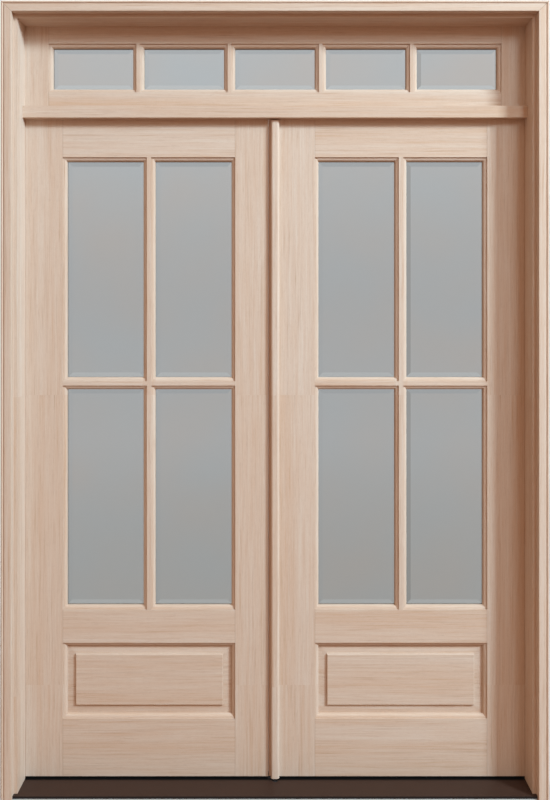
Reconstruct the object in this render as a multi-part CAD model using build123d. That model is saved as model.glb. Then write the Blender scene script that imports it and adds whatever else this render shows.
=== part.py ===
from build123d import *
import os

# Double entrance door with a fixed five-pane transom over two in-swinging leaves.
# Millimetres. X runs right as seen from the street, Y runs into the building, Z is up.
# The origin is on the underside of the sill, midway between the jambs, level with the
# front edges of the jambs.

# Frame sizes
opening_width = 1811.4         # between the stops of the two jambs
jamb_depth = 133.0             # front edge to back edge
jamb_thickness = 31.8          # at the stop
rabbet = 12.7                  # step from the stop back to the rabbet face
bar_height = 42.0              # front face of the transom bar
bar_projection = 28.0          # transom bar's nose in front of the stops
sill_rise = 12.0               # top of the sill under the leaves
sill_front_rise = 8.0          # top of the sill at its front edge
sill_nosing = 15.0             # sill in front of the jambs
deck_wall = 3.0                # metal skin of the sill

# Casing sizes
casing_width = 36.5
casing_thickness = 28.0
casing_reveal = 13.0           # jamb edge left bare beside the casing
casing_flat = 23.8             # flat face, up to the groove
casing_groove = 4.6
casing_groove_depth = 3.4
casing_edge_chamfer = 1.0

# Leaf sizes
leaf_thickness = 44.5
hinge_stile_width = 143.4
glass_width = 625.5            # between the sticking lines of the stiles
bottom_rail_height = 208.5
panel_height = 275.1
lock_rail_height = 120.5
glass_height = 1641.6
top_rail_height = 143.3
muntin_flat = 16.0

# Transom sizes
transom_stile_width = 86.1     # what shows beside the jamb
transom_bottom_rail_height = 56.7
transom_glass_height = 175.5
transom_top_rail_height = 62.3 # what shows under the head
transom_pane_count = 5
transom_muntin_flat = 13.0
transom_bead_width = 11.0      # inside bead that holds the sash, across the opening

# Sticking, the moulded edge round each pane and panel
sticking_width = 14.0
sticking_quirk = 5.0           # drop from the face at the sticking line
sticking_fillet = 2.5          # narrow flat at the foot of the quirk
sticking_lip = 2.5             # straight edge between the round and the pane

# Panes and panels
pane_bevel_width = 16.0
pane_bevel_rise = 2.0
pane_bite_gap = 1.0            # pane edge to the bottom of its rebate
panel_slope_width = 30.0
panel_slope_rise = 2.5
panel_step = 7.5               # from the slope up to the field
panel_step_round = 3.0
panel_tongue_gap = 4.0         # room for the panel to swell in its groove

# Astragal on the right leaf
astragal_width = 31.0
astragal_thickness = 18.0
astragal_round = 9.0
astragal_lap = 7.0             # flange on the face of its own leaf
astragal_stem = 18.5           # stem on the edge of its own leaf
meeting_gap = 7.5              # from the astragal's side to the left leaf, for its swing
meeting_bevel = 2.0            # the left leaf's meeting edge leans back by this much
seal_width = 10.0
seal_setback = 2.0             # from the leaf's face back to the seal
seal_round = 4.0
seal_clearance = 1.6           # seal to the other leaf
bolt_diameter = 15.0
bolt_clearance = 1.5

# Seals
sweep_depth = 30.0
sweep_base = 1.0
sweep_rib = 1.0
sweep_rib_width = 2.5
sweep_rib_count = 4
strip_width = 8.0              # weatherstrip on the stops
strip_thickness = 3.6

# Hinges
hinge_count = 4
hinge_height = 102.0
hinge_plate_depth = 33.0
hinge_plate_thickness = 3.0
knuckle_radius = 6.0
knuckle_count = 3
knuckle_sides = 16
knuckle_setback = 7.0          # hinge axis behind the back face of the leaf
pin_radius = 3.0
pin_sides = 10
top_hinge_margin = 180.0
bottom_hinge_margin = 250.0

# Clearances
leaf_gap = 5.0                 # between a leaf and what it closes against
pin_clearance = 0.3
knuckle_clearance = 0.6
pane_foot_clearance = 0.5      # pane or panel slope to the sticking

# Planes across the depth
leaf_back = jamb_depth
leaf_front = jamb_depth - leaf_thickness
stop_back = leaf_front - leaf_gap
sash_front = stop_back
sash_back = sash_front + leaf_thickness
bar_front = stop_back - bar_projection

# Planes across the width, for the right half
stop_x = opening_width / 2
rabbet_x = stop_x + rabbet
jamb_outer_x = stop_x + jamb_thickness
leaf_hinge_x = rabbet_x - leaf_gap
glass_outer_x = leaf_hinge_x - hinge_stile_width
glass_inner_x = glass_outer_x - glass_width
astragal_edge_x = astragal_width / 2
right_meeting_x = astragal_edge_x - astragal_lap
left_meeting_x = astragal_edge_x + meeting_gap
seal_tip_x = -left_meeting_x + seal_clearance
stem_x = right_meeting_x - astragal_stem
casing_inner_x = stop_x + casing_reveal
casing_outer_x = casing_inner_x + casing_width

# Heights
leaf_bottom = sill_rise + leaf_gap + sweep_base + sweep_rib
panel_bottom = leaf_bottom + bottom_rail_height
panel_top = panel_bottom + panel_height
glass_bottom = panel_top + lock_rail_height
glass_top = glass_bottom + glass_height
leaf_top = glass_top + top_rail_height
bar_rabbet_z = leaf_top + leaf_gap
bar_bottom = bar_rabbet_z - rabbet
bar_top = bar_bottom + bar_height
transom_glass_bottom = bar_top + transom_bottom_rail_height
transom_glass_top = transom_glass_bottom + transom_glass_height
head_bottom = transom_glass_top + transom_top_rail_height
head_rabbet_z = head_bottom + rabbet
head_top = head_bottom + jamb_thickness
casing_inner_z = head_bottom + casing_reveal
casing_outer_z = casing_inner_z + casing_width

# Depths of the sticking below the face
sticking_round = sticking_width - sticking_fillet
sticking_foot = sticking_quirk + sticking_round
rebate_depth = sticking_foot + sticking_lip


def block(x0, x1, y0, y1, z0, z1):
    """A box between two corners."""
    middle = ((x0 + x1) / 2, (y0 + y1) / 2, (z0 + z1) / 2)
    return Pos(*middle) * Box(x1 - x0, y1 - y0, z1 - z0)


def merge(pieces):
    """One shape from pieces that meet face to face."""
    whole = pieces[0]
    for piece in pieces[1:]:
        whole = whole + piece
    return whole


def sticking_section(front):
    """Ovolo section: x runs into the opening, y runs back from the face of the leaf."""
    def depth(value):
        return value if front else leaf_thickness - value

    back = depth(rebate_depth)
    step = depth(sticking_quirk)
    half = sticking_round * 0.5 ** 0.5
    middle = (sticking_fillet + half, depth(sticking_foot - half))
    quirk = Polyline((0, back), (0, step), (sticking_fillet, step))
    ovolo = ThreePointArc(quirk @ 1, middle, (sticking_width, depth(sticking_foot)))
    lip = Polyline(ovolo @ 1, (sticking_width, back), (0, back))
    return make_face([*quirk.edges(), *ovolo.edges(), *lip.edges()])


def mitred_run(section, length):
    """The section drawn out along Z, with both ends cut at 45 degrees."""
    run = extrude(section, amount=length, dir=(0, 0, 1))
    width = sticking_width
    outline = Polyline((0, 0), (0, length), (width, length - width), (width, width), close=True)
    mitre = extrude(Plane.XZ * make_face(outline), amount=2 * leaf_thickness, both=True)
    return run & mitre


def sticking(x0, x1, z0, z1, face_y, sides):
    """Mitred mouldings round an opening, by the side of the opening that they run along."""
    places = {
        "left": (Plane((x0, face_y, z0), x_dir=(1, 0, 0), z_dir=(0, 0, 1)), z1 - z0),
        "right": (Plane((x1, face_y, z1), x_dir=(-1, 0, 0), z_dir=(0, 0, -1)), z1 - z0),
        "bottom": (Plane((x1, face_y, z0), x_dir=(0, 0, 1), z_dir=(-1, 0, 0)), x1 - x0),
        "top": (Plane((x0, face_y, z1), x_dir=(0, 0, -1), z_dir=(1, 0, 0)), x1 - x0),
    }
    runs = {}
    for name, (plane, length) in places.items():
        runs[name] = [plane.location * mitred_run(sticking_section(front), length) for front in sides]
    return runs


def face_rectangle(x0, x1, z0, z1, inset, y):
    """An upright rectangle at depth y, drawn in from an opening by the inset."""
    plane = Plane(((x0 + x1) / 2, y, (z0 + z1) / 2), x_dir=(1, 0, 0), z_dir=(0, -1, 0))
    return plane * Rectangle(x1 - x0 - 2 * inset, z1 - z0 - 2 * inset)


def slope(x0, x1, z0, z1, near_inset, near_y, far_inset, far_y):
    """Four sloping sides between two upright rectangles."""
    near = face_rectangle(x0, x1, z0, z1, near_inset, near_y)
    far = face_rectangle(x0, x1, z0, z1, far_inset, far_y)
    return loft([near, far], ruled=True)


def pane(x0, x1, z0, z1, face_y):
    """Sealed glass unit, bevelled on both faces inside its sticking."""
    front = face_y + rebate_depth
    back = face_y + leaf_thickness - rebate_depth
    foot = sticking_width + pane_foot_clearance
    crest = foot + pane_bevel_width
    gap = pane_bite_gap
    body = block(x0 + gap, x1 - gap, front, back, z0 + gap, z1 - gap)
    body += slope(x0, x1, z0, z1, foot, front, crest, front - pane_bevel_rise)
    body += slope(x0, x1, z0, z1, foot, back, crest, back + pane_bevel_rise)
    return body


def raised_panel(x0, x1, z0, z1, face_y):
    """Panel with a tongue all round, a sloping margin and a raised field on both faces."""
    front = face_y + rebate_depth
    back = face_y + leaf_thickness - rebate_depth
    foot = sticking_width + pane_foot_clearance
    crest = foot + panel_slope_width
    gap = panel_tongue_gap
    body = block(x0 + gap, x1 - gap, front, back, z0 + gap, z1 - gap)
    for root, outward in ((front, -1), (back, 1)):
        brow = root + outward * panel_slope_rise
        top = brow + outward * panel_step
        body += slope(x0, x1, z0, z1, foot, root, crest, brow)
        low_y, high_y = sorted((brow, top))
        field = block(x0 + crest, x1 - crest, low_y, high_y, z0 + crest, z1 - crest)
        rim = field.faces().sort_by(Axis.Y)[0 if outward < 0 else -1].edges()
        body += fillet(rim, panel_step_round)
    return body


def glass_stop(x0, x1, z0, z1, face_y):
    """Removable inside moulding that holds one pane."""
    runs = sticking(x0, x1, z0, z1, face_y, (False,))
    return merge([run for side in runs.values() for run in side])


def divided(start, end, count, bar):
    """Clear spans between bars of equal width."""
    pitch = (end - start + bar) / count
    return [(start + i * pitch, start + (i + 1) * pitch - bar) for i in range(count)]


def hinge_heights():
    """Bottom end of each hinge on a leaf."""
    low = leaf_bottom + bottom_hinge_margin
    high = leaf_top - top_hinge_margin - hinge_height
    return [low + (high - low) * i / (hinge_count - 1) for i in range(hinge_count)]


hinge_axis_x = (rabbet_x + leaf_hinge_x) / 2
hinge_axis_y = leaf_back + knuckle_setback


def hinge_plate(face_x, into, z):
    """Plate let in flush with an edge."""
    front = leaf_back - hinge_plate_depth
    x0, x1 = sorted((face_x, face_x + into * hinge_plate_thickness))
    return block(x0, x1, front, leaf_back, z, z + hinge_height)


def on_hinge_axis(outline, low, high):
    """Upright rod on the axis of the hinges."""
    return Pos(hinge_axis_x, hinge_axis_y, low) * extrude(outline, amount=high - low)


def hinge_half(face_x, into, z, first, pinned):
    """One half of a butt hinge: plate, every second knuckle and, on the jamb, the pin."""
    half = hinge_plate(face_x, into, z)
    x0, x1 = sorted((face_x, face_x + into * hinge_plate_thickness))
    length = hinge_height / knuckle_count
    end_gap = knuckle_clearance / 2
    barrel = RegularPolygon(knuckle_radius, knuckle_sides)
    for i in range(first, knuckle_count, 2):
        low = z + i * length + end_gap
        high = z + (i + 1) * length - end_gap
        half += block(x0, x1, leaf_back, hinge_axis_y, low, high)
        half += on_hinge_axis(barrel, low, high)
    if pinned:
        pin = RegularPolygon(pin_radius, pin_sides)
        return half + on_hinge_axis(pin, z + end_gap, z + hinge_height - end_gap)
    bore = RegularPolygon(pin_radius + pin_clearance, pin_sides, major_radius=False)
    return half - on_hinge_axis(bore, z, z + hinge_height)


def leaf(meeting_x, bevel):
    """Pieces of one leaf, drawn on the right of the middle, by name."""
    stile_ends = (leaf_front, leaf_back, leaf_bottom, leaf_top)
    lock_stile = [block(meeting_x, glass_inner_x, *stile_ends)]
    hinge_stile = [block(glass_outer_x, leaf_hinge_x, *stile_ends)]
    rail_ends = (glass_inner_x, glass_outer_x, leaf_front, leaf_back)
    bottom_rail = [block(*rail_ends, leaf_bottom, panel_bottom)]
    lock_rail = [block(*rail_ends, panel_top, glass_bottom)]
    top_rail = [block(*rail_ends, glass_top, leaf_top)]

    columns = divided(glass_inner_x, glass_outer_x, 2, muntin_flat)
    rows = divided(glass_bottom, glass_top, 2, muntin_flat)
    upright = block(columns[0][1], columns[1][0], leaf_front, leaf_back, glass_bottom, glass_top)
    cross_bar = block(*rail_ends, rows[0][1], rows[1][0])
    bars = [upright, cross_bar]
    panes = []
    stops = []
    for column, (x0, x1) in enumerate(columns):
        for row, (z0, z1) in enumerate(rows):
            runs = sticking(x0, x1, z0, z1, leaf_front, (True,))
            (bars if column else lock_stile).extend(runs["left"])
            (hinge_stile if column else bars).extend(runs["right"])
            (bars if row else lock_rail).extend(runs["bottom"])
            (top_rail if row else bars).extend(runs["top"])
            panes.append(pane(x0, x1, z0, z1, leaf_front))
            stops.append(glass_stop(x0, x1, z0, z1, leaf_front))

    panel_edges = (glass_inner_x, glass_outer_x, panel_bottom, panel_top)
    runs = sticking(*panel_edges, leaf_front, (True, False))
    lock_stile.extend(runs["left"])
    hinge_stile.extend(runs["right"])
    bottom_rail.extend(runs["bottom"])
    lock_rail.extend(runs["top"])

    lock_stile = merge(lock_stile)
    if bevel:
        corner = (meeting_x, leaf_front)
        lean = Polyline(corner, (meeting_x + bevel, leaf_front), (meeting_x, leaf_back), close=True)
        wedge = extrude(make_face(lean), amount=leaf_top - leaf_bottom)
        lock_stile -= Pos(0, 0, leaf_bottom) * wedge
    hinge_stile = merge(hinge_stile)
    hinges = []
    for z in hinge_heights():
        hinge_stile -= hinge_plate(leaf_hinge_x, -1, z)
        hinges.append(hinge_half(leaf_hinge_x, -1, z, 1, False))

    ends = (meeting_x + bevel, leaf_hinge_x)
    front = (leaf_front + leaf_back - sweep_depth) / 2
    rib_top = leaf_bottom - sweep_base
    sweep = block(*ends, front, front + sweep_depth, rib_top, leaf_bottom)
    rib_pitch = (sweep_depth - sweep_rib_width) / (sweep_rib_count - 1)
    for i in range(sweep_rib_count):
        rib = front + i * rib_pitch
        sweep += block(*ends, rib, rib + sweep_rib_width, rib_top - sweep_rib, rib_top)

    return {
        "lock_stile": lock_stile,
        "hinge_stile": hinge_stile,
        "bottom_rail": merge(bottom_rail),
        "lock_rail": merge(lock_rail),
        "top_rail": merge(top_rail),
        "glazing_bars": merge(bars),
        "raised_panel": raised_panel(*panel_edges, leaf_front),
        "panes": Compound(panes),
        "glass_stops": Compound(stops),
        "leaf_hinges": Compound(hinges),
        "sweep": sweep,
    }


def jamb():
    """Right jamb: stop and rabbet in one piece, let in for the hinges."""
    post = block(stop_x, jamb_outer_x, 0, stop_back, 0, head_top)
    post += block(rabbet_x, jamb_outer_x, stop_back, jamb_depth, 0, head_top)
    for z in hinge_heights():
        post -= hinge_plate(rabbet_x, 1, z)
    return post


def jamb_hinges():
    return Compound([hinge_half(rabbet_x, 1, z, 0, True) for z in hinge_heights()])


def cross_member(front_y, low, rabbet_low, high):
    """Member between the jambs, rabbeted below for what closes against it."""
    member = block(-stop_x, stop_x, front_y, stop_back, low, high)
    return member + block(-rabbet_x, rabbet_x, stop_back, jamb_depth, rabbet_low, high)


def sill_section(inset):
    """Sill section in Y and Z, drawn in under its metal skin by the inset."""
    front = -sill_nosing + inset
    return Polyline(
        (front, 0),
        (front, sill_front_rise - inset),
        (leaf_front, sill_rise - inset),
        (jamb_depth, sill_rise - inset),
        (jamb_depth, 0),
        close=True,
    )


def sill_solid(inset):
    """Sill run between the jambs, with a nosing between the casings."""
    run = extrude(Plane.YZ * make_face(sill_section(inset)), amount=casing_inner_x, both=True)
    nosing = block(-casing_inner_x, casing_inner_x, -sill_nosing, 0, 0, sill_rise)
    between = block(-stop_x, stop_x, 0, stop_back, 0, sill_rise)
    behind = block(-rabbet_x, rabbet_x, stop_back, jamb_depth, 0, sill_rise)
    return run & (nosing + between + behind)


def casing_section():
    """Casing section: x runs out from the inner edge, y runs back to the wall."""
    bead_start = casing_flat + casing_groove
    bead_middle = (bead_start + casing_width) / 2
    front = -casing_thickness
    floor = front + casing_groove_depth
    edge = casing_edge_chamfer
    inner = Polyline((0, 0), (0, front + edge), (edge, front), (casing_flat, front))
    groove = Polyline(inner @ 1, (casing_flat, floor), (bead_start, floor))
    bead = ThreePointArc(groove @ 1, (bead_middle, front), (casing_width, floor))
    outer = Polyline(bead @ 1, (casing_width, 0), (0, 0))
    return make_face([*inner.edges(), *groove.edges(), *bead.edges(), *outer.edges()])


def casing_leg():
    """Right casing, mitred at its head."""
    run = Pos(casing_inner_x, 0, 0) * extrude(casing_section(), amount=casing_outer_z, dir=(0, 0, 1))
    outline = Polyline(
        (casing_inner_x, 0),
        (casing_inner_x, casing_inner_z),
        (casing_outer_x, casing_outer_z),
        (casing_outer_x, 0),
        close=True,
    )
    return run & extrude(Plane.XZ * make_face(outline), amount=2 * casing_thickness, both=True)


def casing_head():
    """Head casing, mitred at both ends."""
    plane = Plane((-casing_outer_x, 0, casing_inner_z), x_dir=(0, 0, 1), z_dir=(1, 0, 0))
    section = mirror(casing_section(), about=Plane.XZ)
    run = plane.location * extrude(section, amount=2 * casing_outer_x, dir=(0, 0, 1))
    outline = Polyline(
        (-casing_inner_x, casing_inner_z),
        (casing_inner_x, casing_inner_z),
        (casing_outer_x, casing_outer_z),
        (-casing_outer_x, casing_outer_z),
        close=True,
    )
    return run & extrude(Plane.XZ * make_face(outline), amount=2 * casing_thickness, both=True)


def transom():
    """Pieces of the fixed transom sash, by name."""
    inner_x = stop_x - transom_stile_width
    ends = (sash_front, sash_back)
    left_stile = [block(-rabbet_x, -inner_x, *ends, bar_top, head_rabbet_z)]
    right_stile = [block(inner_x, rabbet_x, *ends, bar_top, head_rabbet_z)]
    bottom_rail = [block(-inner_x, inner_x, *ends, bar_top, transom_glass_bottom)]
    top_rail = [block(-inner_x, inner_x, *ends, transom_glass_top, head_rabbet_z)]
    spans = divided(-inner_x, inner_x, transom_pane_count, transom_muntin_flat)
    bars = []
    for (_, x0), (x1, _) in zip(spans, spans[1:]):
        bars.append([block(x0, x1, *ends, transom_glass_bottom, transom_glass_top)])
    panes = []
    stops = []
    for i, (x0, x1) in enumerate(spans):
        edges = (x0, x1, transom_glass_bottom, transom_glass_top, sash_front)
        runs = sticking(*edges, (True,))
        (bars[i - 1] if i else left_stile).extend(runs["left"])
        (right_stile if i == transom_pane_count - 1 else bars[i]).extend(runs["right"])
        bottom_rail.extend(runs["bottom"])
        top_rail.extend(runs["top"])
        panes.append(pane(*edges))
        stops.append(glass_stop(*edges))
    bead_hole = block(
        -stop_x + transom_bead_width, stop_x - transom_bead_width, sash_back, jamb_depth,
        bar_top + transom_bead_width, head_bottom - transom_bead_width,
    )
    beads = block(-rabbet_x, rabbet_x, sash_back, jamb_depth, bar_top, head_rabbet_z) - bead_hole
    return {
        "transom_left_stile": merge(left_stile),
        "transom_right_stile": merge(right_stile),
        "transom_bottom_rail": merge(bottom_rail),
        "transom_top_rail": merge(top_rail),
        "transom_glazing_bars": Compound([merge(bar) for bar in bars]),
        "transom_panes": Compound(panes),
        "transom_glass_stops": Compound(stops),
        "transom_inside_beads": beads,
    }


def astragal():
    """T-shaped cover strip on the right leaf: flange on its face, stem on its edge."""
    front = leaf_front - astragal_thickness
    edge = astragal_edge_x
    flange = block(-edge, edge, front, leaf_front, leaf_bottom, bar_bottom - leaf_gap)
    corners = flange.edges().filter_by(Axis.Z).group_by(Axis.Y)[0]
    flange = fillet(corners, astragal_round)
    return flange + block(stem_x, right_meeting_x, leaf_front, leaf_back, leaf_bottom, leaf_top)


def astragal_seal():
    """Soft strip in the side of the stem that closes the gap between the leaves."""
    front = leaf_front + seal_setback
    strip = block(seal_tip_x, stem_x, front, front + seal_width, leaf_bottom, leaf_top)
    nose = strip.edges().filter_by(Axis.Z).group_by(Axis.X)[0]
    return fillet(nose, seal_round)


def astragal_bolt():
    """Shoot bolt that shows under the astragal, drawn clear of the sill."""
    height = leaf_bottom - sill_rise - bolt_clearance
    centre_y = leaf_front - astragal_thickness + bolt_diameter / 2
    bolt = Cylinder(bolt_diameter / 2, height, align=(Align.CENTER, Align.CENTER, Align.MAX))
    return Pos(0, centre_y, leaf_bottom) * bolt


def weatherstrip():
    """Soft strips on the back of the stops, at both jambs and under the transom bar."""
    y0, y1 = stop_back, stop_back + strip_thickness
    side = block(stop_x, stop_x + strip_width, y0, y1, sill_rise, bar_bottom)
    head = block(-stop_x, stop_x, y0, y1, bar_bottom, bar_bottom + strip_width)
    return Compound([side, mirror(side, about=Plane.YZ), head])


nodes = {
    "right_jamb": jamb(),
    "left_jamb": mirror(jamb(), about=Plane.YZ),
    "head_jamb": cross_member(0, head_bottom, head_rabbet_z, head_top),
    "transom_bar": cross_member(bar_front, bar_bottom, bar_rabbet_z, bar_top),
    "sill_substrate": sill_solid(deck_wall),
    "sill_deck": sill_solid(0) - sill_solid(deck_wall),
    "right_brickmould": casing_leg(),
    "left_brickmould": mirror(casing_leg(), about=Plane.YZ),
    "head_brickmould": casing_head(),
    "jamb_weatherstrip": weatherstrip(),
    "right_jamb_hinges": jamb_hinges(),
    "left_jamb_hinges": mirror(jamb_hinges(), about=Plane.YZ),
    "astragal": astragal(),
    "astragal_seal": astragal_seal(),
    "astragal_bolt": astragal_bolt(),
}
nodes.update(transom())
for name, shape in leaf(right_meeting_x, 0).items():
    nodes["right_" + name] = shape
for name, shape in leaf(left_meeting_x, meeting_bevel).items():
    nodes["left_" + name] = mirror(shape, about=Plane.YZ)

os.makedirs("parts", exist_ok=True)
for name, shape in nodes.items():
    export_step(shape, f"parts/{name}.step")
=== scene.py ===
import math

import bmesh
import bpy
from mathutils import Matrix, Vector


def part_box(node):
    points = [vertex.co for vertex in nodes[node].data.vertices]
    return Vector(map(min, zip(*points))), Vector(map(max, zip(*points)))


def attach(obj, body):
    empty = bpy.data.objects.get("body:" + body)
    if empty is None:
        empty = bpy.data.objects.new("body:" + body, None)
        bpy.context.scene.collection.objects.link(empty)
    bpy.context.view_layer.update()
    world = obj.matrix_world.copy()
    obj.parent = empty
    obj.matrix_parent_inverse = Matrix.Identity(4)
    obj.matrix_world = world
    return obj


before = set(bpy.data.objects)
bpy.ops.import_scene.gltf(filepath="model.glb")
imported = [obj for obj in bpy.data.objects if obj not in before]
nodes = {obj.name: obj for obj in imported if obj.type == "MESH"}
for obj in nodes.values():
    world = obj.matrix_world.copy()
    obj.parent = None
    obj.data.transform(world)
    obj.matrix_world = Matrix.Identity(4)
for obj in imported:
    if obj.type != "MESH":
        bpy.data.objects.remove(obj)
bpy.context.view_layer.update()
MM = 0.001


def shade(red, green, blue):
    """A colour as a screen shows it, 0 to 255, turned into the linear colour that a socket takes."""
    parts = [value / 255 for value in (red, green, blue)]
    linear = [p / 12.92 if p <= 0.04045 else ((p + 0.055) / 1.055) ** 2.4 for p in parts]
    return (*linear, 1.0)


class Wire:
    """One output of a node. Arithmetic on it adds Math nodes."""

    def __init__(self, bench, socket):
        self.bench = bench
        self.socket = socket

    def math(self, operation, *values):
        return self.bench.add("ShaderNodeMath", {"operation": operation}, dict(enumerate(values)))

    def __add__(self, other):
        return self.math("ADD", self, other)

    def __radd__(self, other):
        return self.math("ADD", other, self)

    def __sub__(self, other):
        return self.math("SUBTRACT", self, other)

    def __rsub__(self, other):
        return self.math("SUBTRACT", other, self)

    def __mul__(self, other):
        return self.math("MULTIPLY", self, other)

    def __rmul__(self, other):
        return self.math("MULTIPLY", other, self)

    def __neg__(self):
        return self.math("MULTIPLY", self, -1.0)

    def __abs__(self):
        return self.math("ABSOLUTE", self)

    def __lt__(self, other):
        return self.math("LESS_THAN", self, other)

    def __gt__(self, other):
        return self.math("GREATER_THAN", self, other)

    def or_more(self, other):
        return self.math("MAXIMUM", self, other)

    def fade(self, start, end):
        """0 before start, 1 after end, smooth in between."""
        settings = {"interpolation_type": "SMOOTHSTEP"}
        return self.bench.add("ShaderNodeMapRange", settings, {"Value": self, 1: start, 2: end})


class Bench:
    """A node tree while it is filled, a material's or the world's."""

    def __init__(self, tree):
        self.tree = tree
        tree.nodes.clear()

    def add(self, kind, settings=None, values=None, out=0):
        """Adds one node: first its settings, then the values or links of its sockets."""
        node = self.tree.nodes.new(kind)
        for name, value in (settings or {}).items():
            setattr(node, name, value)
        for key, value in (values or {}).items():
            if isinstance(value, Wire):
                self.tree.links.new(value.socket, node.inputs[key])
            else:
                node.inputs[key].default_value = value
        return Wire(self, node.outputs[out]) if len(node.outputs) else node

    def blend(self, share, first, second):
        """A colour between two colours."""
        return self.add("ShaderNodeMix", {"data_type": "RGBA"}, {0: share, 6: first, 7: second}, 2)

    def between(self, share, first, second):
        """A vector between two vectors."""
        return self.add("ShaderNodeMix", {"data_type": "VECTOR"}, {0: share, 4: first, 5: second}, 1)

    def stretched(self, vector, stretch, shift):
        """A vector stretched along each axis, then shifted."""
        return self.add("ShaderNodeVectorMath", {"operation": "MULTIPLY_ADD"}, {0: vector, 1: stretch, 2: shift})

    def times(self, vector, share):
        """A vector made longer or shorter."""
        return self.add("ShaderNodeVectorMath", {"operation": "SCALE"}, {0: vector, "Scale": share})

    def noise(self, vector, scale, detail=2.0, roughness=0.5):
        """Noise about zero, from -0.5 to 0.5."""
        values = {"Vector": vector, "Scale": scale, "Detail": detail, "Roughness": roughness}
        return self.add("ShaderNodeTexNoise", {}, values) - 0.5

    def swirl(self, vector, scale):
        """Noise with three parts, to bend a vector by."""
        values = {"Vector": vector, "Scale": scale, "Detail": 1.0}
        return self.add("ShaderNodeTexNoise", {}, values, out="Color")

    def axes(self, vector):
        """The three parts of a vector."""
        parts = self.add("ShaderNodeSeparateXYZ", {}, {0: vector})
        node = parts.socket.node
        return [Wire(self, node.outputs[i]) for i in range(3)]

    def place(self):
        return self.add("ShaderNodeTexCoord", out="Object")

    def facing(self):
        return self.add("ShaderNodeTexCoord", out="Normal")

    def arris(self, radius):
        """Normals that round the edges off by a radius."""
        return self.add("ShaderNodeBevel", {"samples": 4}, {"Radius": radius})

    def bump(self, height, strength, distance, normal=None):
        values = {"Height": height, "Strength": strength, "Distance": distance}
        if normal is not None:
            values["Normal"] = normal
        return self.add("ShaderNodeBump", {}, values)

    def surface(self, values):
        """The shader of the material, with these values on its sockets."""
        shader = self.add("ShaderNodeBsdfPrincipled", {}, values)
        self.add("ShaderNodeOutputMaterial", {}, {"Surface": shader})


def finish(name):
    material = bpy.data.materials.new(name)
    material.use_nodes = True
    return material, Bench(material.node_tree)


# Light bare wood
BEIGE_WOOD = shade(215, 198, 183)
PINK_WOOD = shade(203, 171, 146)
BROWN_STREAK = shade(176, 141, 115)
PORE_WOOD = shade(160, 124, 99)
END_WOOD = shade(178, 146, 122)
JOINT_LINE = shade(132, 98, 76)
UPRIGHT = (1.0, 1.0, 0.02)
LEVEL = (0.02, 1.0, 1.0)
GLUED_AT = (350 * MM, 1402 * MM)


def grain_shift(number):
    """Where in the tree a board was cut."""
    return (1.37 * number, 2.11 * number, 0.73 * number)


def wood(name, number, upright=None, split=None, seam=None, glued=False, tone=0.0):
    """Sawn and sanded light wood.

    split(bench, place) is 1 where the grain stands and 0 where it lies.
    seam(bench, place) is the distance to the joint with the next board.
    A glued board is made of lengths that meet end to end, each with its own grain.
    """
    material, bench = finish(name)
    place = bench.place()
    shift = grain_shift(number)
    bent = bench.stretched(bench.swirl(place, 2.6), (0.010, 0.010, 0.010), place)
    length_tone = 0.0
    if glued:
        height = bench.axes(place)[2]
        length = (height > GLUED_AT[0]) + (height > GLUED_AT[1])
        own = bench.times((4.3, 3.1, 2.7), length)
        bent = bench.stretched(bent, (1.0, 1.0, 1.0), own)
        length_tone = bench.noise(bench.stretched(own, (1.0, 1.0, 1.0), shift), 1.3, 0)
    if split is None:
        grain = bench.stretched(bent, UPRIGHT if upright else LEVEL, shift)
    else:
        lying = bench.stretched(bent, LEVEL, shift)
        grain = bench.between(split(bench, place), lying, bench.stretched(bent, UPRIGHT, shift))
    drift = bench.noise(grain, 15, 2)
    streak = bench.noise(grain, 95, 3, 0.6)
    line = bench.noise(grain, 290, 2, 0.55)
    thread = bench.noise(grain, 760, 2, 0.6)
    fleck = bench.noise(bent, 330, 1)
    cloud = bench.noise(place, 11, 2)
    pores = bench.noise(grain, 1700, 1).fade(0.1, 0.2)
    warmth = 0.5 + tone + 0.22 * length_tone + 1.1 * drift + 1.0 * streak + 0.85 * line + 0.4 * thread + 0.35 * fleck
    colour = bench.blend(warmth, BEIGE_WOOD, PINK_WOOD)
    dusk = (0.3 + 0.5 * cloud) * bench.noise(grain, 150, 3, 0.55).fade(0.02, 0.24) + 0.5 * line.fade(0.12, 0.3)
    colour = bench.blend(dusk, colour, BROWN_STREAK)
    colour = bench.blend(0.3 * pores, colour, PORE_WOOD)
    if split is None:
        cut = abs(bench.axes(bench.facing())[2 if upright else 0])
        colour = bench.blend(0.7 * cut.fade(0.75, 0.9), colour, END_WOOD)
    if seam is not None:
        near = 1.0 - abs(seam(bench, place)).fade(0.4 * MM, 1.8 * MM)
        colour = bench.blend(0.5 * near, colour, JOINT_LINE)
    roughness = 0.56 + 0.12 * streak - 0.06 * pores
    height = 0.5 * thread + 0.6 * line + 0.4 * streak - 0.5 * pores
    normal = bench.bump(height, 0.25, 0.3 * MM, bench.arris(0.5 * MM))
    bench.surface({"Base Color": colour, "Roughness": roughness, "Normal": normal, "Specular IOR Level": 0.35})
    return material


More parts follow.
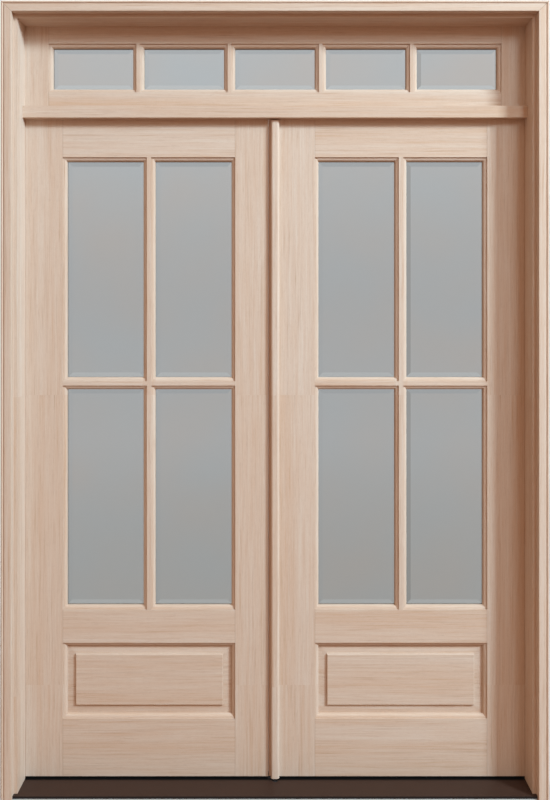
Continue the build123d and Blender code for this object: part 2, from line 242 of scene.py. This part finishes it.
def metal(name, dark, light, metallic, roughness, grain, painted_shade=None):
    """Brushed metal, its brush lines along the axis that the grain leaves short. The optional painted-shade mask is
    1 where shade is painted in as near black.
    """
    material, bench = finish(name)
    place = bench.place()
    lines = bench.noise(bench.stretched(place, grain, (0.0, 0.0, 0.0)), 900, 3, 0.6)
    cloud = bench.noise(place, 14, 3)
    colour = bench.blend(0.5 + 0.9 * lines + 0.6 * cloud, dark, light)
    # Painted shade: near black is blended in where the mask is 1.
    if painted_shade is not None:
        colour = bench.blend(painted_shade(bench, place), colour, shade(9, 9, 9))
    normal = bench.bump(lines, 0.2, 0.08 * MM, bench.arris(0.6 * MM))
    rough = roughness + 0.12 * lines + 0.1 * cloud
    bench.surface({"Base Color": colour, "Roughness": rough, "Normal": normal, "Metallic": metallic,
                   "Specular IOR Level": 0.25})
    return material


def rubber(name, dark, light):
    material, bench = finish(name)
    place = bench.place()
    specks = bench.noise(place, 1400, 2)
    cloud = bench.noise(place, 22, 2)
    colour = bench.blend(0.5 + 0.8 * cloud + 0.5 * specks, dark, light)
    normal = bench.bump(specks, 0.3, 0.1 * MM)
    bench.surface({"Base Color": colour, "Roughness": 0.62 + 0.2 * specks, "Normal": normal})
    return material


def composite(name):
    """Pressed core of the sill."""
    material, bench = finish(name)
    flakes = bench.noise(bench.place(), 260, 4, 0.65)
    colour = bench.blend(0.5 + 1.1 * flakes, shade(120, 104, 90), shade(74, 64, 56))
    normal = bench.bump(flakes, 0.3, 0.3 * MM)
    bench.surface({"Base Color": colour, "Roughness": 0.75 + 0.2 * flakes, "Normal": normal})
    return material


def glass(name):
    """Grey glass, now cooler and now warmer. Its ground bevels carry painted reflection and shade: paler where they
    face down, dimmer where they face up or left, and darker where they face left on the panes far to the right.
    """
    material, bench = finish(name)
    place = bench.place()
    wave = bench.noise(place, 3.4, 1)
    haze = bench.noise(place, 40, 3)
    colour = bench.blend(0.5 + 1.6 * wave, shade(189, 194, 196), shade(196, 192, 188))
    inside = bench.add("ShaderNodeNewGeometry", out="Backfacing")
    right, _, up = bench.axes(bench.times(bench.facing(), 1.0 - 2.0 * inside))
    # Painted reflection and shade on the bevels, chosen by the way each face points.
    colour = bench.blend((-up).fade(0.03, 0.13), colour, shade(199, 202, 202))
    colour = bench.blend(up.or_more(-0.6 * right).fade(0.03, 0.13), colour, shade(184, 188, 190))
    painted_shade_far_right = bench.axes(place)[0].fade(300 * MM, 500 * MM)
    colour = bench.blend(painted_shade_far_right * (-right).fade(0.03, 0.13), colour, shade(172, 172, 170))
    bench.surface({
        "Base Color": colour,
        "Roughness": 0.012 + 0.01 * haze,
        "Normal": bench.bump(wave, 0.15, 0.4 * MM),
        "IOR": 1.5,
        "Transmission Weight": 1.0,
    })
    return material


def bar_split(name, reach):
    """Upright within reach of the middle of the bars, lying elsewhere."""
    low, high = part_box(name)
    across = (low.x + high.x) / 2

    def split(bench, place):
        return abs(bench.axes(place)[0] - across) < reach

    return split


def ring_split(bench, place):
    """Upright on the runs that face sideways, lying on those that face up or down."""
    sideways, _, rising = bench.axes(bench.facing())
    return abs(sideways) > abs(rising)


def bead_split(bench, place):
    """Upright at the two ends of the transom, lying between them."""
    return abs(bench.axes(place)[0]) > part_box("transom_inside_beads")[1].x - 24 * MM


def end_seam(name):
    """Distance along a lying board to its nearer end."""
    low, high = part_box(name)
    middle, half = (low.x + high.x) / 2, (high.x - low.x) / 2

    def seam(bench, place):
        return half - abs(bench.axes(place)[0] - middle)

    return seam


def mitre_seam(bench, place):
    """Distance to the mitres at the two upper corners of the casing."""
    corner_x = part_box("right_brickmould")[0].x
    corner_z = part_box("head_brickmould")[0].z
    across, _, up = bench.axes(place)
    return (abs(across) - corner_x) - (up - corner_z)


def dress(name, material):
    """Gives a CAD node its finish."""
    slots = nodes[name].data.materials
    slots.clear()
    slots.append(material)


UPRIGHT_BOARDS = ["left_jamb", "right_jamb", "transom_left_stile", "transom_right_stile", "transom_glazing_bars",
                  "astragal", "left_lock_stile", "right_lock_stile", "left_hinge_stile", "right_hinge_stile"]
LYING_BOARDS = ["head_jamb", "transom_bar", "left_raised_panel", "right_raised_panel"]
RAILS = ["transom_bottom_rail", "transom_top_rail", "left_bottom_rail", "right_bottom_rail", "left_lock_rail",
         "right_lock_rail", "left_top_rail", "right_top_rail"]
CASINGS = ["left_brickmould", "right_brickmould", "head_brickmould"]
for number, name in enumerate(UPRIGHT_BOARDS + LYING_BOARDS + RAILS + CASINGS):
    upright = name in UPRIGHT_BOARDS or name in CASINGS[:2]
    seam = end_seam(name) if name in RAILS else mitre_seam if name in CASINGS else None
    tone = 0.05 * math.sin(2.4 * number)
    dress(name, wood("wood_" + name, number, upright, seam=seam, glued=name in UPRIGHT_BOARDS, tone=tone))
for number, name in enumerate(["left_glazing_bars", "right_glazing_bars"], 40):
    dress(name, wood("wood_" + name, number, split=bar_split(name, 23 * MM), glued=True))
for number, name in enumerate(["left_glass_stops", "right_glass_stops", "transom_glass_stops"], 50):
    dress(name, wood("wood_" + name, number, split=ring_split))
dress("transom_inside_beads", wood("wood_transom_inside_beads", 60, split=bead_split))


def painted_shade_of_sill(bench, place):
    """Painted shade on the sill: 1 under the closed leaves, where their shadow falls, and 0.8 on its front face,
    which is painted dark as if unlit.
    """
    leaf_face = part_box("left_bottom_rail")[0].y
    leaf_shadow = bench.axes(place)[1].fade(leaf_face - 17 * MM, leaf_face - 6 * MM)
    front = (-bench.axes(bench.facing())[1]).fade(0.5, 0.8)
    return leaf_shadow.or_more(0.8 * front)


pane_glass = glass("pane_glass")
for name in ["left_panes", "right_panes", "transom_panes"]:
    dress(name, pane_glass)
# The sill's colour carries painted shade under the leaves and on its front face.
sill_bronze = metal("sill_bronze", shade(54, 37, 30), shade(65, 46, 38), 0.0, 0.5, (0.02, 1.0, 1.0), painted_shade_of_sill)
dress("sill_deck", sill_bronze)
dress("sill_substrate", composite("sill_core"))
hinge_nickel = metal("hinge_nickel", shade(150, 146, 138), shade(190, 187, 180), 1.0, 0.34, (1.0, 1.0, 0.03))
for name in ["left_jamb_hinges", "right_jamb_hinges", "left_leaf_hinges", "right_leaf_hinges"]:
    dress(name, hinge_nickel)
bolt_steel = metal("bolt_steel", shade(122, 130, 134), shade(158, 166, 170), 1.0, 0.3, (1.0, 1.0, 0.05))
dress("astragal_bolt", bolt_steel)
tan_seal = rubber("tan_seal", shade(204, 170, 146), shade(214, 182, 158))
for name in ["jamb_weatherstrip", "astragal_seal"]:
    dress(name, tan_seal)
black_rubber = rubber("black_rubber", shade(14, 14, 14), shade(34, 33, 32))
for name in ["left_sweep", "right_sweep"]:
    dress(name, black_rubber)


# Small pieces
SCREW_SIDES = 20
SCREW_PROFILE = [(4.3 * MM, 0.0), (4.1 * MM, 0.35 * MM), (3.5 * MM, 0.68 * MM), (2.7 * MM, 0.9 * MM)]
RECESS_ARM = 2.0 * MM
RECESS_HALF = 0.45 * MM
RECESS_DEPTH = 0.7 * MM
SCREWS_A_PLATE = 4


def ring_of(mesh, radius, height, sides):
    """One circle of points about Z."""
    turn = math.tau / sides
    return [mesh.verts.new((radius * math.cos(turn * i), radius * math.sin(turn * i), height)) for i in range(sides)]


def join_rings(mesh, lower, upper):
    """Faces between two outlines with as many points."""
    count = len(lower)
    for i in range(count):
        mesh.faces.new((lower[i], lower[(i + 1) % count], upper[(i + 1) % count], upper[i]))


def loop_edges(mesh, points):
    """The edges of a closed outline."""
    pairs = zip(points, points[1:] + points[:1])
    return [mesh.edges.get(pair) or mesh.edges.new(pair) for pair in pairs]


def screw_head():
    """Oval screw head with a cross recess, crown up, foot at the origin."""
    mesh = bmesh.new()
    rings = [ring_of(mesh, radius, height, SCREW_SIDES) for radius, height in SCREW_PROFILE]
    for lower, upper in zip(rings, rings[1:]):
        join_rings(mesh, lower, upper)
    crown = SCREW_PROFILE[-1][1]
    arm, half = RECESS_ARM, RECESS_HALF
    cross = [(arm, -half), (arm, half), (half, half), (half, arm), (-half, arm), (-half, half),
             (-arm, half), (-arm, -half), (-half, -half), (-half, -arm), (half, -arm), (half, -half)]
    brim = [mesh.verts.new((x, y, crown)) for x, y in cross]
    floor = [mesh.verts.new((0.8 * x, 0.8 * y, crown - RECESS_DEPTH)) for x, y in cross]
    edges = loop_edges(mesh, rings[-1]) + loop_edges(mesh, brim)
    bmesh.ops.triangle_fill(mesh, use_beauty=True, use_dissolve=False, edges=edges, normal=(0, 0, 1))
    join_rings(mesh, brim, floor)
    mesh.faces.new(floor)
    bmesh.ops.recalc_face_normals(mesh, faces=mesh.faces)
    return mesh


def joined(name, shape, places, material, body):
    """Copies of a small shape at many places, as one piece that rides on a body."""
    whole = bmesh.new()
    template = bpy.data.meshes.new(name + "_template")
    shape.to_mesh(template)
    for place in places:
        start = len(whole.verts)
        whole.from_mesh(template)
        whole.verts.ensure_lookup_table()
        bmesh.ops.transform(whole, matrix=place, verts=whole.verts[start:])
    mesh = bpy.data.meshes.new(name)
    whole.to_mesh(mesh)
    whole.free()
    bpy.data.meshes.remove(template)
    mesh.materials.append(material)
    piece = bpy.data.objects.new(name, mesh)
    bpy.context.scene.collection.objects.link(piece)
    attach(piece, body)


def hinge_levels(hinges):
    """Bottom and top of each hinge of a node, found from the heights of its corners."""
    heights = sorted({round(corner.co.z, 5) for corner in nodes[hinges].data.vertices})
    levels = [[heights[0], heights[0]]]
    for height in heights[1:]:
        if height - levels[-1][1] > 200 * MM:
            levels.append([height, height])
        levels[-1][1] = height
    return levels


def screw_places(hinges, face_x, outward):
    """Screw heads on each plate of a hinge node, in two rows, each turned its own way."""
    front_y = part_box(hinges)[0].y
    back_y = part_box("right_hinge_stile")[1].y
    tilt = Matrix.Rotation(math.radians(90 * outward), 4, "Y")
    places = []
    for level, (bottom, top) in enumerate(hinge_levels(hinges)):
        for i in range(SCREWS_A_PLATE):
            height = bottom + (top - bottom) * (0.14 + 0.24 * i)
            depth = front_y + (back_y - front_y) * (0.3 if i % 2 else 0.68)
            spin = Matrix.Rotation(0.9 * level + 1.7 * i, 4, "Z")
            places.append(Matrix.Translation((face_x, depth, height)) @ tilt @ spin)
    return places


leaf_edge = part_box("right_hinge_stile")[1].x
rabbet_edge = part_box("transom_right_stile")[1].x
head = screw_head()
left_leaf_screws = screw_places("left_leaf_hinges", -leaf_edge, -1)
right_leaf_screws = screw_places("right_leaf_hinges", leaf_edge, 1)
jamb_screws = screw_places("left_jamb_hinges", -rabbet_edge, 1) + screw_places("right_jamb_hinges", rabbet_edge, -1)
joined("left_leaf_hinge_screws", head, left_leaf_screws, hinge_nickel, "left_leaf")
joined("right_leaf_hinge_screws", head, right_leaf_screws, hinge_nickel, "right_leaf")
joined("jamb_hinge_screws", head, jamb_screws, hinge_nickel, "frame")
head.free()


def bolt_socket():
    """Flanged ring let into the sloping sill, under the bolt of the astragal."""
    bolt_low, bolt_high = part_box("astragal_bolt")
    sill_low, sill_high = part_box("sill_deck")
    leaf_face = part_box("left_bottom_rail")[0].y
    radius = (bolt_high.x - bolt_low.x) / 2
    depth = (bolt_low.y + bolt_high.y) / 2
    front_rise = 8 * MM
    fall = (sill_high.z - front_rise) / (leaf_face - sill_low.y)
    level = front_rise + fall * (depth - sill_low.y)
    mesh = bmesh.new()
    profile = [(radius + 3.4 * MM, 0.0), (radius + 2.9 * MM, 0.55 * MM), (radius + 2.2 * MM, 0.8 * MM),
               (radius + 1.3 * MM, 0.7 * MM), (radius + 0.8 * MM, 0.15 * MM)]
    rings = [ring_of(mesh, reach, height, 48) for reach, height in profile]
    for lower, upper in zip(rings, rings[1:]):
        join_rings(mesh, lower, upper)
    # This face closes the ring's mouth with dark steel where the hole is. It is painted shade of the hole.
    mesh.faces.new(rings[-1])
    steel_and_hole_shade = metal("socket_steel_and_hole_shade", shade(52, 60, 66), shade(78, 86, 92), 1.0, 0.4, (1.0, 1.0, 1.0))
    place = Matrix.Translation((0.0, depth, level)) @ Matrix.Rotation(math.atan(fall), 4, "X")
    joined("bolt_socket", mesh, [place], steel_and_hole_shade, "frame")
    mesh.free()


bolt_socket()


def seal_lip():
    """Thin lip on the seal of the astragal, that reaches to the edge of the left leaf."""
    seal_low, seal_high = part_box("astragal_seal")
    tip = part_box("left_lock_stile")[1].x + 0.4 * MM
    root, front = seal_low.x, seal_low.y
    section = [(root + 1.5 * MM, front), (tip + 0.3 * MM, front - 0.9 * MM), (tip, front - 0.7 * MM),
               (tip + 0.1 * MM, front - 0.3 * MM), (root, front + 1.2 * MM), (root + 1.5 * MM, front + 1.6 * MM)]
    mesh = bmesh.new()
    foot = [mesh.verts.new((x, y, seal_low.z)) for x, y in section]
    top = [mesh.verts.new((x, y, seal_high.z)) for x, y in section]
    join_rings(mesh, foot, top)
    mesh.faces.new(foot)
    mesh.faces.new(top)
    bmesh.ops.recalc_face_normals(mesh, faces=mesh.faces)
    joined("astragal_seal_lip", mesh, [Matrix.Identity(4)], tan_seal, "right_leaf")
    mesh.free()


seal_lip()

# Floor and backdrop. What the camera, glass and metal see of them is pale, and the light is apart from it.
HORIZON = (0.7, 0.7, 0.7, 1.0)
UPPER_AIR = (0.86, 0.87, 0.88, 1.0)
NEAR_FLOOR = (0.59, 0.585, 0.57, 1.0)
WARM_BOUNCE = shade(140, 102, 80)


def seen_by_mirror_or_pane(bench):
    """1 on the rays that metal sends back and on those that glass lets through."""
    ray = bench.add("ShaderNodeLightPath", out="Is Glossy Ray")
    through = Wire(bench, ray.socket.node.outputs["Is Transmission Ray"])
    return ray.or_more(through)


def studio_floor(half, level):
    """A sheet of pale paper. Far away, and in glass and metal, it glows as the backdrop does.

    The light that it throws back is warm, as from a wooden floor.
    """
    mesh = bpy.data.meshes.new("studio_floor")
    corners = [(-half, -half, level), (half, -half, level), (half, half, level), (-half, half, level)]
    mesh.from_pydata(corners, [], [(0, 1, 2, 3)])
    floor = bpy.data.objects.new("studio_floor", mesh)
    bpy.context.scene.collection.objects.link(floor)
    material, bench = finish("studio_floor")
    place = bench.place()
    fibre = bench.noise(place, 60, 3)
    away = bench.add("ShaderNodeVectorMath", {"operation": "LENGTH"}, {0: place}, out="Value")
    colour = bench.blend(0.5 + fibre, shade(181, 173, 170), shade(185, 177, 174))
    camera_ray = bench.add("ShaderNodeLightPath", out="Is Camera Ray")
    paper = bench.add("ShaderNodeBsdfDiffuse", {}, {"Color": bench.blend(camera_ray, WARM_BOUNCE, colour)})
    glow = bench.add("ShaderNodeEmission", {}, {"Color": bench.blend(away.fade(0.0, 9.0), NEAR_FLOOR, HORIZON)})
    glows = (camera_ray * away.fade(2.5, 6.5)).or_more(seen_by_mirror_or_pane(bench))
    mixed = bench.add("ShaderNodeMixShader", {}, {0: glows, 1: paper, 2: glow})
    bench.add("ShaderNodeOutputMaterial", {}, {"Surface": mixed})
    mesh.materials.append(material)


def studio_air(light):
    """Even light from all round, and a pale backdrop where it is seen."""
    world = bpy.data.worlds.new("studio")
    bpy.context.scene.world = world
    world.use_nodes = True
    bench = Bench(world.node_tree)
    height = bench.axes(bench.add("ShaderNodeTexCoord", out="Generated"))[2]
    air = bench.blend(height.fade(0.0, 0.34), HORIZON, UPPER_AIR)
    backdrop = bench.add("ShaderNodeBackground", {}, {"Color": air})
    ambient = bench.add("ShaderNodeBackground", {}, {"Color": light})
    camera_ray = bench.add("ShaderNodeLightPath", out="Is Camera Ray")
    seen = camera_ray.or_more(seen_by_mirror_or_pane(bench))
    mixed = bench.add("ShaderNodeMixShader", {}, {0: seen, 1: ambient, 2: backdrop})
    bench.add("ShaderNodeOutputWorld", {}, {"Surface": mixed})


def soft_box(name, bearing, rise, away, size, power, tint):
    """A square lamp, aimed at the middle of the door and itself unseen. Bearing 0 is straight in front."""
    lamp = bpy.data.lights.new(name, "AREA")
    lamp.shape = "SQUARE"
    lamp.size = size
    lamp.energy = power
    lamp.color = tint
    box = bpy.data.objects.new(name, lamp)
    middle_of_door = Vector((0.0, 0.0, 1.4))
    across = away * math.cos(math.radians(rise))
    box.location = middle_of_door + Vector((across * math.sin(math.radians(bearing)),
                                            -across * math.cos(math.radians(bearing)),
                                            away * math.sin(math.radians(rise))))
    box.rotation_euler = (middle_of_door - box.location).to_track_quat("-Z", "Y").to_euler()
    box.visible_camera = box.visible_glossy = box.visible_transmission = False
    bpy.context.scene.collection.objects.link(box)


studio_floor(30.0, -0.5 * MM)
studio_air((0.65, 0.445, 0.315, 1.0))
COOL = (0.735, 1.0, 1.165)
soft_box("key_lamp", 54, 32, 9.5, 1.45, 990, COOL)
soft_box("front_lamp", 30, 36, 6.0, 1.6, 86, COOL)
soft_box("rear_lamp", 215, 34, 6.0, 1.6, 300, COOL)

camera = bpy.data.cameras.new("camera")
camera.lens = 35.35
camera.sensor_width = 36.0
camera.shift_y = -0.1
viewer = bpy.data.objects.new("camera", camera)
viewer.location = (0.0, -2.7615, 1.674)
viewer.rotation_euler = (math.pi / 2, 0.0, 0.0)
bpy.context.scene.collection.objects.link(viewer)
bpy.context.scene.camera = viewer
bpy.context.scene.view_settings.view_transform = "Standard"
